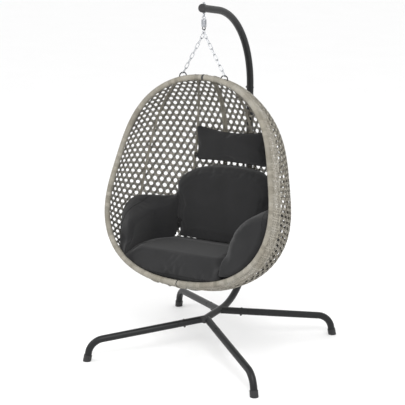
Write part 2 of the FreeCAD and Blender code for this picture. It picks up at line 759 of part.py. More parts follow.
def hook_pivot():
    """Middle of the wire where the shackle hangs in the spring's lower hook."""
    z = spring_top_z() - COIL_LENGTH - 2 * HOOK_R + COIL_END
    return Vector(0, fore_aft_pivot().y, z + 2 * HOOK_WIRE_R + TOUCH)


def spring_hook():
    """The lower hook, with the cone that holds it in the coil's last turns."""
    low = hook_pivot() - Z_AXIS * (2 * HOOK_WIRE_R + TOUCH)
    loop = ring(low + Z_AXIS * HOOK_R, Y_AXIS, HOOK_R, HOOK_WIRE_R)
    top = low + Z_AXIS * (2 * HOOK_R)
    return loop.fuse(plug_cone(top, Z_AXIS))


def stadium(centre, along, across, straight, mean_r, wire_r):
    """An oval link of round wire; straight is the length of each side."""
    a = centre + along * (straight / 2)
    b = centre - along * (straight / 2)
    path = Part.Wire([
        Part.LineSegment(b + across * mean_r, a + across * mean_r).toShape(),
        Part.Arc(a + across * mean_r, a + along * mean_r, a - across * mean_r).toShape(),
        Part.LineSegment(a - across * mean_r, b - across * mean_r).toShape(),
        Part.Arc(b - across * mean_r, b - along * mean_r, b + across * mean_r).toShape(),
    ])
    return sweep(path, wire_r)


def shackle():
    """The oval link that joins the hook to both chains."""
    centre = hook_pivot() - Z_AXIS * (SHACKLE_R + SHACKLE_STRAIGHT / 2)
    return stadium(centre, Z_AXIS, Y_AXIS, SHACKLE_STRAIGHT, SHACKLE_R, HOOK_WIRE_R)


def chain(side):
    """One chain: oval links, each turned a quarter from the last, from the shackle to its ring."""
    shackle_low = hook_pivot() - Z_AXIS * (2 * SHACKLE_R + SHACKLE_STRAIGHT)
    start = shackle_low + Vector(0, side * CHAIN_SIDE_STEP, TOUCH)
    ring_top = hang_point() + X_AXIS * (side * RING_X)
    along = (ring_top - start).normalize()
    first = start - along * (HOOK_WIRE_R + TOUCH)
    last = ring_top + along * (RING_WIRE_R + RING_TOUCH)
    pitch = (last - first).Length / LINKS
    mean_r = LINK_INNER_WIDTH / 2 + LINK_WIRE_R
    straight = pitch + TOUCH - LINK_INNER_WIDTH
    broad = Y_AXIS.cross(along).normalize()
    edge_on = along.cross(broad).normalize()
    solids = []
    for i in range(LINKS):
        centre = first + along * (pitch * (i + 0.5))
        across = edge_on if i % 2 else broad
        solids.append(stadium(centre, along, across, straight, mean_r, LINK_WIRE_R))
    print(f"chain {side:2d}: pitch {pitch:.1f}, length {pitch * LINKS:.0f}")
    return Part.makeCompound(solids)


# ---------------------------------------------------------------- cushions

def cushion_space(gap):
    """The room inside the basket that cushions may fill, that far from the egg's outer surface."""
    back = egg_solid(SHELL_V + 1, gap)
    front = Part.Face(level_wire(2.0, CUSHION_RIM_GAP)).extrude(place(0, 0, SHELL_V + 10) - RIM_CENTRE)
    return back.fuse(front)


def curve_through(points):
    """A smooth edge through points."""
    curve = Part.BSplineCurve()
    curve.interpolate(Points=points)
    return curve.toShape()


def seat_block():
    """The seat, before the egg and the arm cushions trim it."""
    front, back = SEAT_RIGHT_X
    corners = (
        (-CUSHION_FAR_X, CUSHION_FRONT_Y),
        (front, CUSHION_FRONT_Y),
        (back, CUSHION_BACK_Y),
        (-CUSHION_FAR_X, CUSHION_BACK_Y),
    )
    points = [Vector(x, y, SEAT_BOTTOM_Z) for x, y in corners]
    face = Part.Face(Part.makePolygon(points + [points[0]]))
    return face.extrude(Vector(0, 0, SEAT_TOP_Z - SEAT_BOTTOM_Z))


def left_arm_block():
    """The left arm cushion, upright, with a curved inner face and a rounded top edge."""
    low, high = LEFT_ARM_Z
    inner = curve_through([Vector(x, y, low) for x, y in LEFT_ARM_FACE])
    first = Vector(*LEFT_ARM_FACE[0], low)
    last = Vector(*LEFT_ARM_FACE[-1], low)
    outside = Part.makePolygon([
        last,
        Vector(-CUSHION_FAR_X, CUSHION_BACK_Y, low),
        Vector(-CUSHION_FAR_X, CUSHION_FRONT_Y, low),
        first,
    ])
    block = Part.Face(Part.Wire([inner] + outside.Edges)).extrude(Vector(0, 0, high - low))
    top_edges = [
        edge for edge in block.Edges
        if edge.CenterOfMass.z > high - 1 and edge.CenterOfMass.x > first.x
    ]
    return block.makeFillet(LEFT_ARM_EDGE_R, top_edges)


def right_arm_block():
    """The right arm cushion: a round shoulder in front view, drawn backwards and slightly outwards."""
    points = [Vector(x, CUSHION_FRONT_Y, z) for x, z in RIGHT_ARM_FACE]
    outside = Part.makePolygon([
        points[-1],
        Vector(CUSHION_FAR_X, CUSHION_FRONT_Y, points[-1].z),
        Vector(CUSHION_FAR_X, CUSHION_FRONT_Y, points[0].z),
        points[0],
    ])
    face = Part.Face(Part.Wire([curve_through(points)] + outside.Edges))
    return face.extrude(Vector(RIGHT_ARM_SPLAY, CUSHION_BACK_Y - CUSHION_FRONT_Y, 0))


def back_block():
    """The back cushion, before the egg and the arm cushions trim it: a round top and a leaning front."""
    low_z = SEAT_TOP_Z + BACK_SLIT
    back_y = CUSHION_BACK_Y + BACK_SPARE
    top = [Vector(x, back_y, z) for x, z in BACK_TOP]
    left = Vector(BACK_LOW_X[0], back_y, low_z)
    right = Vector(BACK_LOW_X[1], back_y, low_z)
    sides = Part.makePolygon([top[-1], right, left, top[0]])
    forwards = Vector(0, CUSHION_FRONT_Y, 0)
    block = Part.Face(Part.Wire([curve_through(top)] + sides.Edges)).extrude(forwards)
    lean = (BACK_FRONT_HIGH - BACK_FRONT_LOW).normalize() * BACK_SPARE
    low = BACK_FRONT_LOW - lean
    high = BACK_FRONT_HIGH + lean
    across = X_AXIS * CUSHION_FAR_X
    front = Part.makePolygon([low - across, low + across, high + across, high - across, low - across])
    return block.cut(Part.Face(front).extrude(forwards))


def cushions():
    """Seat, back and two arm cushions, shaped by the egg that they sit in."""
    space = cushion_space(CUSHION_GAP)
    left = left_arm_block()
    right = right_arm_block()
    return {
        "seat_cushion": seat_block().common(space).cut(left).cut(right),
        "back_cushion": back_block().common(space).cut(left).cut(right),
        "left_arm_cushion": left.common(space),
        "right_arm_cushion": right.common(cushion_space(RIGHT_ARM_GAP)),
        "head_pillow": head_pillow().common(space),
    }


def head_pillow():
    """The small pillow tied high on the back."""
    size = Vector(*PILLOW_SIZE)
    block = Part.makeBox(size.x, size.y, size.z, PILLOW_CENTRE - size / 2)
    return block.makeFillet(PILLOW_CORNER_R, block.Edges)


def main():
    os.makedirs("parts", exist_ok=True)
    save("lower_pole", lower_pole())
    save("middle_pole", middle_pole())
    save("upper_pole", upper_pole())
    names = {-1: "left", 1: "right"}
    ends = {-1: "front", 1: "rear"}
    leg_bolts = []
    leg_nuts = []
    for end in (-1, 1):
        for side in (-1, 1):
            save(f"{ends[end]}_{names[side]}_leg", leg(side, end))
            save(f"{ends[end]}_{names[side]}_foot", foot(side, end))
            middle, up = leg_bolt_place(side, end)
            leg_bolts.append(bolt(middle, up, BOLT_GRIP))
            leg_nuts.append(cap_nut(middle, up, BOLT_GRIP))
    save("leg_bolts", Part.makeCompound(leg_bolts))
    save("leg_cap_nuts", Part.makeCompound(leg_nuts))
    pole_middles = [Vector(0, POLE_Y, z + BOLT_FROM_MOUTH) for z in (LOWER_JOINT_Z, UPPER_JOINT_Z)]
    pole_bolts = [bolt(middle, X_AXIS, BOLT_GRIP) for middle in pole_middles]
    pole_nuts = [cap_nut(middle, X_AXIS, BOLT_GRIP) for middle in pole_middles]
    save("pole_bolts", Part.makeCompound(pole_bolts))
    save("pole_cap_nuts", Part.makeCompound(pole_nuts))
    _, _, _, direction = arm_geometry()
    arm_mouth = Vector(0, ARM_END_Y, arm_z(ARM_END_Y))
    save("arm_end_cap", end_cap(arm_mouth, direction, ARM_CAP_LENGTH))
    save("spine_end_cap", spine_end_cap())
    save("arm_saddles", saddle_washers())

    save("eye_bolt", eye_bolt())
    save("eye_lock_nut", eye_lock_nut())
    save("spring_top_loop", spring_top_loop())
    save("hanger_spring", hanger_spring())
    save("spring_hook", spring_hook())
    save("shackle", shackle())
    for side in (-1, 1):
        save(f"{names[side]}_chain", chain(side))

    panels = weave_panels()
    panel_names = ("left_side_weave", "left_middle_weave", "left_inner_weave",
                   "right_inner_weave", "right_middle_weave", "right_side_weave")
    for name, panel in zip(panel_names, panels):
        save(name, panel)
    for side in (-1, 1):
        save(f"{names[side]}_rim_tube", rim_tube(side))
        save(f"{names[side]}_rim_wrap", rim_wrap(side))
        save(f"{names[side]}_hanging_ring", hanging_ring(side, RING_WIRE_R))
        for name in RIBS:
            save(f"{names[side]}_{name}_rib", rib(side, name))
    save("seam_bolts", seam_bolts())
    save("seam_nuts", seam_nuts())
    save("rim_joint_plugs", rim_joint_plugs())
    for name, solid in cushions().items():
        save(name, solid)
    print("hang point", hang_point(), "fore-aft pivot", fore_aft_pivot(), "hook pivot", hook_pivot())


main()
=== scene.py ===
"""Hanging egg chair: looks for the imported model. Metres, +Z up, the chair faces -Y.

The basket has its own frame: x across, u up along the rim's plane, and v backwards into the egg.
"""

import math

import bmesh
import bpy
import numpy as np
from mathutils import Matrix, Vector
from mathutils.bvhtree import BVHTree


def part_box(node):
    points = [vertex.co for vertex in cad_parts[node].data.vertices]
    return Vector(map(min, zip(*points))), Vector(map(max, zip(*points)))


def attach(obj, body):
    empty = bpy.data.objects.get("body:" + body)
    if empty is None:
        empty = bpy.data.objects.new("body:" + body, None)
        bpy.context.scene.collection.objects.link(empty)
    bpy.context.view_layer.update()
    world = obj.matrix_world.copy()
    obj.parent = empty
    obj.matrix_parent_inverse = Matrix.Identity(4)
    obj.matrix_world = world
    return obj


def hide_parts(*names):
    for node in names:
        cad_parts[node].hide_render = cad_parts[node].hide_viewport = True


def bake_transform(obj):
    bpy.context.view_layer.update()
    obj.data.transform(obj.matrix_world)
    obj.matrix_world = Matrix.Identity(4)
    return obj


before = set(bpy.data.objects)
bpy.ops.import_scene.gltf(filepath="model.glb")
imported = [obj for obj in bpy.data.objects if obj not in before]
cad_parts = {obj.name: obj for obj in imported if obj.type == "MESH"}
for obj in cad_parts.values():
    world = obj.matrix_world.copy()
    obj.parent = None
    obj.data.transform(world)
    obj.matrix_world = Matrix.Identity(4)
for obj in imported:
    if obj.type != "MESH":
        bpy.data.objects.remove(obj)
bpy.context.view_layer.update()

# ---------------------------------------------------------------- sizes

RIM_TILT = math.radians(15.36)
EGG = (0.5259, -0.0235, 0.0368, 0.0225, -0.0155)   # rim radius: cosine terms of the angle from the top
DEPTH = 0.397
SIDE_POWER = 3.0
TALL_POWER = 2.3
SIDE_BULGE = 0.08
TALL_BULGE = 0.033
DROP = 0.046
RIM_V = 0.012
RIM_INSET = 0.014
RIM_TUBE_R = 0.010
RIB_ROOT_V = 0.0216             # where the ribs start, on the rim's back
RIB_INSET = 0.003
RIBS = {
    "centre": (0.007, 0.0),
    "inner": (0.045, math.radians(20)),
    "outer": (0.090, math.radians(51)),
}

STRAND_HALF = 0.0027            # half width of one of the two strands that run side by side
STRAND_THICK = 0.0015           # half its thickness
PAIR_OFFSET = 0.0031            # each strand of a pair, from the pair's line
HOLE_PITCH = 0.0378             # between neighbouring holes of the open weave
WEAVE_INSET = 0.0028            # from the egg's outer surface to the middle of the weave
WEAVE_SWING = 0.0014            # how far a strand goes in and out as it passes its neighbours
FAMILY_SHADE = (0.84, 0.34, 0.44)   # the strands that run across lie in front and catch more light
EDGE_PAINTED_SHADE = -0.70              # painted shade: strands are darker along their edges, where they meet their neighbours
OUTER_PAINTED_LIGHT = 0.40              # and lighter on the outside, as painted light
# the same painted shade along the edges of the wound strands and of the band's strands
WOUND_EDGE_PAINTED_SHADE = -0.40
STRAND_STEPS = 5                # points along a strand for each hole
STRAND_SHADES = 0.22            # how much single strands differ in tone
STRAND_SHIFT = 0.0006           # how far a strand strays from its place, and
STRAND_WAVER = 0.0005           # how far it wanders along its length,
WAVER_RATE = 9                  # in radians for each metre
OPEN_FROM_V = 0.046             # the open weave's strands end under the dense band
BAND_V = (0.0150, 0.0600)       # the dense band beside the rim
BAND_ROWS = 9
BAND_PITCH = 0.0128
BAND_ROW = (0.0029, 0.0009, 0.0009)     # half width, half thickness and swing of a strand along the rim
BAND_CROSS = (0.0030, 0.0008, 0.0010)   # and of one that crosses them
BAND_OVERHANG = (0.009, 0.003)  # the crossing strands go this far past the first and the last row
BAND_SHADES = (0.5, 1.0)
RIM_WOUND = (0.0138, 0.0066, 0.0041, 16, 0.66)  # radius, pitch, half width, points a turn and tone
RIB_WOUND = (0.0056, 0.0066, 0.0037, 10, 0.62)
WOUND_THICK = 0.0008            # half the thickness of a wound strand
WOUND_ROUGH = 0.00018           # turns lie this much higher or lower
WOUND_LEAN = 0.16               # each turn leans on the one before it
WOUND_SHADES = 0.12
WOUND_TURNS = 3                 # turns of one tone
SEAM_HALF = 0.0016
COIL_WIRE_R = 0.002
COIL_TURNS = 9
COIL_STEPS = 28                 # points for each turn

CAMERA_PLACE = (3.061, -5.757, 2.56)
CAMERA_DOWN = math.radians(14.9)
CAMERA_ROUND = math.radians(28.51)
CAMERA_LENS = 112.0
FLOOR_HALF = 60

RNG = np.random.default_rng(7)


# ---------------------------------------------------------------- basket geometry

def basket_matrix():
    """From basket coordinates (x, u, v) to the chair's frame."""
    s, c = math.sin(RIM_TILT), math.cos(RIM_TILT)
    turn = Matrix(((1, 0, 0), (0, s, c), (0, c, -s))).to_4x4()
    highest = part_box("left_rim_tube")[1]        # the rim tube is highest and furthest back at its top seam
    u = sum(EGG) - RIM_INSET
    y = highest[1] - RIM_TUBE_R - u * s - RIM_V * c
    z = highest[2] - RIM_TUBE_R - u * c + RIM_V * s
    return Matrix.Translation((0.0, y, z)) @ turn


BASKET = basket_matrix()
BASKET_ARRAY = np.array(BASKET)


def to_world(points):
    return points @ BASKET_ARRAY[:3, :3].T + BASKET_ARRAY[:3, 3]


def to_basket(points):
    return (points - BASKET_ARRAY[:3, 3]) @ BASKET_ARRAY[:3, :3]


def rim_radius(angle):
    return sum(term * np.cos(i * angle) for i, term in enumerate(EGG))


def level_scales(k):
    """Width and height of the egg's section at depth fraction k, as shares of the rim's."""
    swell = 4 * k * (1 - k)
    across = (1 - k ** SIDE_POWER) ** (1 / SIDE_POWER) * (1 + SIDE_BULGE * swell)
    tall = (1 - k ** TALL_POWER) ** (1 / TALL_POWER) * (1 + TALL_BULGE * swell)
    return across, tall


def egg_ratio(points, inset):
    """Below 1 inside the egg, above 1 outside, for an array of basket points."""
    x, u, v = points[..., 0], points[..., 1], points[..., 2]
    k = np.clip(v / (DEPTH - inset), 0.0, 1.0)
    across, tall = level_scales(np.minimum(k, 0.999999))
    flat_x = x / across
    flat_u = (u + DROP * k) / tall
    ratio = np.hypot(flat_x, flat_u) / (rim_radius(np.arctan2(flat_x, flat_u)) - inset)
    return np.where(k >= 1.0, 2.0, ratio)


def reach(start, direction, inset, far=0.9):
    """How far each ray goes before it leaves the egg."""
    near = np.zeros(direction.shape[:-1])
    away = np.full(direction.shape[:-1], far)
    for _ in range(30):
        middle = (near + away) / 2
        inside = egg_ratio(start + direction * middle[..., None], inset) < 1
        near = np.where(inside, middle, near)
        away = np.where(inside, away, middle)
    return near


def unit(vectors):
    return vectors / np.maximum(np.linalg.norm(vectors, axis=-1, keepdims=True), 1e-12)


class EggMap:
    """Spreads a flat sheet over the egg: the sheet's middle is the back of the egg, and lengths along
    any line from there are kept."""

    TURNS = 360
    STEPS = 150
    PITCH = 0.005

    def __init__(self, inset):
        turn = np.linspace(0, 2 * math.pi, self.TURNS + 1)[:, None]
        rise = np.linspace(0, math.pi / 2, self.STEPS + 1)[None, :]
        direction = np.stack([
            np.sin(rise) * np.sin(turn),
            np.sin(rise) * np.cos(turn),
            np.cos(rise) + 0 * turn,
        ], axis=-1)
        start = np.array([0.0, -DROP, 0.0])
        points = start + direction * reach(start, direction, inset)[..., None]
        step = np.linalg.norm(np.diff(points, axis=1), axis=-1)
        length = np.concatenate([np.zeros((self.TURNS + 1, 1)), np.cumsum(step, axis=1)], axis=1)
        self.longest = length.max()
        count = int(self.longest / self.PITCH) + 2
        even = np.arange(count) * self.PITCH
        self.table = np.empty((self.TURNS + 1, count, 3))
        for i in range(self.TURNS + 1):
            for axis in range(3):
                self.table[i, :, axis] = np.interp(even, length[i], points[i, :, axis])
            past = even > length[i, -1]
            self.table[i, past] = np.nan

    def __call__(self, flat):
        """Basket points for flat points (across, up); NaN past the rim."""
        r = np.hypot(flat[:, 0], flat[:, 1]) / self.PITCH
        a = np.mod(np.arctan2(flat[:, 0], flat[:, 1]), 2 * math.pi) / (2 * math.pi) * self.TURNS
        i = np.minimum(a.astype(int), self.TURNS - 1)
        j = np.minimum(r.astype(int), self.table.shape[1] - 2)
        fi = (a - i)[:, None]
        fj = (r - j)[:, None]
        t = self.table
        low = t[i, j] * (1 - fi) + t[i + 1, j] * fi
        high = t[i, j + 1] * (1 - fi) + t[i + 1, j + 1] * fi
        return low * (1 - fj) + high * fj

    def normals(self, flat, span=0.008):
        """Outward normals of the egg at the same places."""
        across = self(flat + np.array([span, 0])) - self(flat - np.array([span, 0]))
        up = self(flat + np.array([0, span])) - self(flat - np.array([0, span]))
        return unit(np.cross(across, up))


def surface_normals(points, inset, span=0.002):
    """Outward normals from how the egg's ratio changes; for places that aren't near its back."""
    out = np.zeros_like(points)
    for axis in range(3):
        shift = np.zeros(3)
        shift[axis] = span
        out[:, axis] = egg_ratio(points + shift, inset) - egg_ratio(points - shift, inset)
    return unit(out)


# ---------------------------------------------------------------- strands

FLAT = ((1.0, 0.0), (0.66, 0.9), (-0.66, 0.9), (-1.0, 0.0), (-0.66, -0.9), (0.66, -0.9))
OVAL = ((1.0, 0.0), (0.0, 1.0), (-1.0, 0.0), (0.0, -1.0))
ROUND = tuple((math.cos(i * math.pi / 4), math.sin(i * math.pi / 4)) for i in range(8))


class Strands:
    """Collects flat strands into one mesh, with a shade number on each."""

    def __init__(self, section=FLAT, edge_painted_shade=0.0, outer_painted_light=0.0):
        self.section = section
        # each point of the section gets painted shade towards the strand's edges and painted light on its
        # outer side
        self.edge_painted_shade = np.array([edge_painted_shade * abs(w) ** 3 + outer_painted_light * max(t, 0) for w, t in section])
        self.points = []
        self.faces = []
        self.shade = []
        self.count = 0

    def add(self, path, normals, half_width, half_thick, shade=None):
        """One strand along a path; normals say which way its flat side looks."""
        n = len(path)
        if n < 3:
            return
        along = unit(np.gradient(path, axis=0))
        side = unit(np.cross(along, normals))
        up = np.cross(side, along)
        k = len(self.section)
        rings = np.empty((n, k, 3))
        for i, (w, t) in enumerate(self.section):
            rings[:, i] = path + side * (w * half_width) + up * (t * half_thick)
        self.points.append(rings.reshape(-1, 3))
        base = self.count + np.arange(n - 1)[:, None] * k
        i = np.arange(k)[None, :]
        j = (i + 1) % k
        quads = np.stack([base + i, base + j, base + k + j, base + k + i], axis=-1).reshape(-1, 4)
        self.faces.extend(quads.tolist())
        self.faces.append((self.count + np.arange(k))[::-1].tolist())
        self.faces.append((self.count + (n - 1) * k + np.arange(k)).tolist())
        self.count += n * k
        if shade is None:
            shade = RNG.uniform(0, 1)
        self.shade.append(np.tile(shade + self.edge_painted_shade, n))

    def make(self, name, material):
        """The mesh object, in the chair's frame."""
        mesh = bpy.data.meshes.new(name)
        points = to_world(np.concatenate(self.points))
        mesh.from_pydata(points.tolist(), [], self.faces)
        mesh.update()
        tone = mesh.attributes.new("tone", "FLOAT", "POINT")
        tone.data.foreach_set("value", np.concatenate(self.shade).astype(np.float32))
        mesh.polygons.foreach_set("use_smooth", np.ones(len(mesh.polygons), dtype=bool))
        mesh.materials.append(material)
        piece = bpy.data.objects.new(name, mesh)
        bpy.context.scene.collection.objects.link(piece)
        return piece


def runs(keep):
    """Start and end of each unbroken stretch of True."""
    edges = np.flatnonzero(np.diff(np.concatenate([[False], keep, [False]]).astype(int)))
    return zip(edges[::2], edges[1::2])


def open_weave(egg_map):
    """Three families of strands, 60 degrees apart, which leave six-sided holes."""
    halves = {side: Strands(OVAL, EDGE_PAINTED_SHADE, OUTER_PAINTED_LIGHT) for side in (-1, 1)}
    row = HOLE_PITCH * math.sqrt(3) / 2
    lines = int(egg_map.longest / row) + 1
    steps = int(2 * egg_map.longest / (HOLE_PITCH / STRAND_STEPS))
    for family in range(3):
        turn = family * math.pi / 3
        along = np.array([math.cos(turn), math.sin(turn)])
        across = np.array([-math.sin(turn), math.cos(turn)])
        for line in range(-lines, lines):
            over_at = HOLE_PITCH * (0.75 + 0.5 * line)
            t = (np.arange(steps) - steps / 2) * (HOLE_PITCH / STRAND_STEPS)
            t = t + (over_at % (HOLE_PITCH / STRAND_STEPS))
            wander = RNG.normal(0, STRAND_SHIFT) + STRAND_WAVER * np.sin(t * WAVER_RATE + RNG.uniform(0, 6))
            flat = along[None, :] * t[:, None] + across[None, :] * ((line + 0.5) * row + wander)[:, None]
            flat = flat[np.hypot(flat[:, 0], flat[:, 1]) < egg_map.longest]
            if len(flat) < 4:
                continue
            t = flat @ along
            points = egg_map(flat)
            normals = egg_map.normals(flat)
            good = np.isfinite(points).all(axis=1) & np.isfinite(normals).all(axis=1)
            good &= np.nan_to_num(points[:, 2]) > OPEN_FROM_V
            swing = WEAVE_SWING * np.cos(2 * math.pi * (t - over_at) / HOLE_PITCH)
            sideways = unit(np.cross(normals, np.gradient(points, axis=0)))
            for offset in (-PAIR_OFFSET, PAIR_OFFSET):
                path = points + normals * swing[:, None] + sideways * offset
                shade = FAMILY_SHADE[family] + RNG.uniform(-STRAND_SHADES, STRAND_SHADES)
                for side in (-1, 1):
                    for a, b in runs(good & (side * np.nan_to_num(points[:, 0]) > SEAM_HALF)):
                        halves[side].add(path[a:b], normals[a:b], STRAND_HALF, STRAND_THICK, shade)
    return halves


def level_curve(side, v, inset, spacing):
    """Half of the egg's outline at depth v, evenly spaced, from the top seam to the bottom one."""
    angle = np.linspace(0, math.pi, 900)
    k = v / (DEPTH - inset)
    across, tall = level_scales(np.full_like(angle, k))
    r = rim_radius(angle) - inset
    points = np.stack([
        side * r * np.sin(angle) * across,
        r * np.cos(angle) * tall - DROP * k,
        np.full_like(angle, v),
    ], axis=-1)
    length = np.concatenate([[0], np.cumsum(np.linalg.norm(np.diff(points, axis=0), axis=1))])
    count = max(int(round(length[-1] / spacing)), 2)
    even = np.linspace(0, length[-1], count + 1)
    angle = np.interp(even, length, angle)
    return np.stack([np.interp(even, length, points[:, i]) for i in range(3)], axis=-1), angle, even


def band_weave(side, strands):
    """The dense band beside the rim: rows along the rim, and short strands that cross them."""
    inset = WEAVE_INSET
    row_pitch = (BAND_V[1] - BAND_V[0]) / (BAND_ROWS - 1)
    half, thick, sway = BAND_ROW
    for row in range(BAND_ROWS):
        v = BAND_V[0] + row * row_pitch
        path, _, even = level_curve(side, v, inset, BAND_PITCH / 4)
        normals = surface_normals(path, inset)
        swing = sway * np.cos(math.pi * even / BAND_PITCH + math.pi * row)
        keep = side * path[:, 0] > SEAM_HALF
        path = path + normals * swing[:, None]
        for a, b in runs(keep):
            strands.add(path[a:b], normals[a:b], half, thick, RNG.uniform(*BAND_SHADES))
    half, thick, sway = BAND_CROSS
    _, angles, _ = level_curve(side, RIM_V, inset, BAND_PITCH)
    depths = np.linspace(BAND_V[0] - BAND_OVERHANG[0], BAND_V[1] + BAND_OVERHANG[1], 26)
    for number, angle in enumerate(angles[1:-1], 1):
        k = depths / (DEPTH - inset)
        across, tall = level_scales(k)
        r = rim_radius(angle) - inset
        path = np.stack([
            side * r * math.sin(angle) * across,
            r * math.cos(angle) * tall - DROP * k,
            depths,
        ], axis=-1)
        normals = surface_normals(path, inset)
        swing = -sway * np.cos(math.pi * (depths - BAND_V[0]) / row_pitch + math.pi * number)
        strands.add(path + normals * swing[:, None], normals, half, thick, RNG.uniform(*BAND_SHADES))


def wound(strands, path, plane_normal, sizes):
    """A strand wound closely round a bar; plane_normal is square to the bar's plane."""
    radius, pitch, half_width, steps, tone = sizes
    length = np.concatenate([[0], np.cumsum(np.linalg.norm(np.diff(path, axis=0), axis=1))])
    turns = int(length[-1] / pitch)
    at = np.linspace(0, length[-1], turns * steps + 1)
    middle = np.stack([np.interp(at, length, path[:, i]) for i in range(3)], axis=-1)
    along = unit(np.gradient(middle, axis=0))
    square = unit(np.cross(plane_normal, along))
    phase = 2 * math.pi * np.arange(len(at)) / steps
    out = square * np.cos(phase)[:, None] + np.asarray(plane_normal) * np.sin(phase)[:, None]
    rough = np.interp(at, np.linspace(0, length[-1], turns + 1), RNG.normal(0, WOUND_ROUGH, turns + 1))
    per_strand = steps * WOUND_TURNS
    for first in range(0, len(at) - 1, per_strand):
        part = slice(first, min(first + per_strand + 1, len(at)))
        lean = unit(out[part] + along[part] * WOUND_LEAN)
        shade = tone + RNG.uniform(-WOUND_SHADES, WOUND_SHADES)
        turn = middle[part] + out[part] * (radius + rough[part])[:, None]
        strands.add(turn, lean, half_width, WOUND_THICK, shade)


def rim_winding(side, strands):
    """The wicker wound round one half of the rim."""
    angle = np.linspace(0, math.pi, 700)
    r = rim_radius(angle) - RIM_INSET
    path = np.stack([side * r * np.sin(angle), r * np.cos(angle), np.full_like(angle, RIM_V)], axis=-1)
    path = path[side * path[:, 0] > SEAM_HALF + 0.001]
    wound(strands, path, np.array([0.0, 0.0, 1.0]), RIM_WOUND)


def rib_path(side, name):
    """A rib's centre line, from the top of the rim round the back to its bottom."""
    offset, lean = RIBS[name]
    start = np.array([offset + RIB_ROOT_V * math.tan(lean), 0.0, RIB_ROOT_V])
    angle = np.linspace(0, math.pi, 240)
    direction = np.stack([
        np.sin(angle) * math.sin(lean),
        np.cos(angle),
        np.sin(angle) * math.cos(lean),
    ], axis=-1)
    path = start + direction * reach(start, direction, RIB_INSET)[:, None]
    path[:, 0] *= side
    return path


def rib_winding(side, name, strands):
    """The wicker wound round one rib."""
    _, lean = RIBS[name]
    normal = np.array([side * math.cos(lean), 0.0, -math.sin(lean)])
    path = rib_path(side, name)
    path = path[path[:, 2] > RIB_ROOT_V]
    wound(strands, path, normal, RIB_WOUND)


# ---------------------------------------------------------------- materials

class Shader:
    """One procedural material; constants go straight on the shader's sockets."""

    def __init__(self, name, colour, roughness, metallic=0.0, specular=0.5):
        self.material = bpy.data.materials.new(name)
        self.material.use_nodes = True
        self.tree = self.material.node_tree
        self.shader = self.tree.nodes["Principled BSDF"]
        self.shader.inputs["Base Color"].default_value = (*colour, 1.0)
        self.shader.inputs["Roughness"].default_value = roughness
        self.shader.inputs["Metallic"].default_value = metallic
        self.shader.inputs["Specular IOR Level"].default_value = specular
        self.place = self.tree.nodes.new("ShaderNodeTexCoord").outputs["Object"]

    def node(self, kind, values=(), **fields):
        made = self.tree.nodes.new(kind)
        for key, value in fields.items():
            setattr(made, key, value)
        for key, value in dict(values).items():
            made.inputs[key].default_value = value
        return made

    def link(self, source, target):
        self.tree.links.new(source, target)

    def noise(self, scale, detail=3.0, roughness=0.55, stretch=None):
        made = self.node("ShaderNodeTexNoise", {"Scale": scale, "Detail": detail, "Roughness": roughness})
        source = self.place
        if stretch is not None:
            mapping = self.node("ShaderNodeMapping", {"Scale": stretch})
            self.link(source, mapping.inputs["Vector"])
            source = mapping.outputs["Vector"]
        self.link(source, made.inputs["Vector"])
        return made.outputs["Fac"]

    def ramp(self, source, stops):
        made = self.node("ShaderNodeValToRGB")
        elements = made.color_ramp.elements
        while len(elements) < len(stops):
            elements.new(0.5)
        for element, (at, colour) in zip(elements, stops):
            element.position = at
            element.color = (*colour, 1.0)
        self.link(source, made.inputs["Fac"])
        return made.outputs["Color"]

    def spread(self, source, low, high):
        made = self.node("ShaderNodeMapRange", {"To Min": low, "To Max": high})
        self.link(source, made.inputs["Value"])
        return made.outputs["Result"]

    def mix(self, factor, a, b, blend="MIX", amount=None):
        made = self.node("ShaderNodeMix", data_type="RGBA", blend_type=blend)
        if amount is None:
            self.link(factor, made.inputs[0])
        else:
            made.inputs[0].default_value = amount
        self.link(a, made.inputs[6])
        self.link(b, made.inputs[7])
        return made.outputs[2]

    def math(self, kind, a, b):
        made = self.node("ShaderNodeMath", operation=kind)
        self.link(a, made.inputs[0])
        if isinstance(b, (int, float)):
            made.inputs[1].default_value = b
        else:
            self.link(b, made.inputs[1])
        return made.outputs[0]

    def bump(self, height, strength, distance):
        made = self.node("ShaderNodeBump", {"Strength": strength, "Distance": distance})
        self.link(height, made.inputs["Height"])
        self.link(made.outputs["Normal"], self.shader.inputs["Normal"])

    def colour(self, source):
        self.link(source, self.shader.inputs["Base Color"])

    def rough(self, source):
        self.link(source, self.shader.inputs["Roughness"])


def srgb(*levels):
    """Linear colour from the 0-255 levels of a picture."""
    return tuple(((c / 255 + 0.055) / 1.055) ** 2.4 if c > 10 else c / 255 / 12.92 for c in levels)


def wicker():
    made = Shader("wicker", srgb(160, 156, 146), 0.66, specular=0.3)
    tone = made.node("ShaderNodeAttribute", attribute_name="tone").outputs["Fac"]
    dark, middle, pale = srgb(84, 81, 74), srgb(150, 146, 136), srgb(192, 188, 178)
    # tone holds each strand's own tone together with painted light: painted shade along its edges, painted
    # light on its outer side and on the strands that run across
    by_strand = made.ramp(tone, ((0.0, dark), (0.5, middle), (1.0, pale)))
    streak = made.ramp(made.noise(240, 4.0, 0.6), ((0.3, srgb(205, 205, 205)), (0.7, srgb(255, 255, 255))))
    blotch = made.ramp(made.noise(14, 2.0), ((0.3, srgb(226, 222, 214)), (0.7, srgb(255, 255, 255))))
    colour = made.mix(None, by_strand, streak, "MULTIPLY", 0.7)
    made.colour(made.mix(None, colour, blotch, "MULTIPLY", 0.8))
    made.rough(made.spread(made.noise(90), 0.5, 0.75))
    made.bump(made.noise(900, 3.0), 0.35, 0.0003)
    return made.material


def powder_coat():
    made = Shader("powder_coat", srgb(22, 23, 24), 0.42, specular=0.30)
    made.colour(made.ramp(made.noise(35, 3.0), ((0.3, srgb(18, 19, 20)), (0.7, srgb(26, 27, 28)))))
    made.rough(made.spread(made.noise(160, 3.0), 0.34, 0.48))
    made.bump(made.noise(1300, 2.0), 0.25, 0.0004)
    return made.material


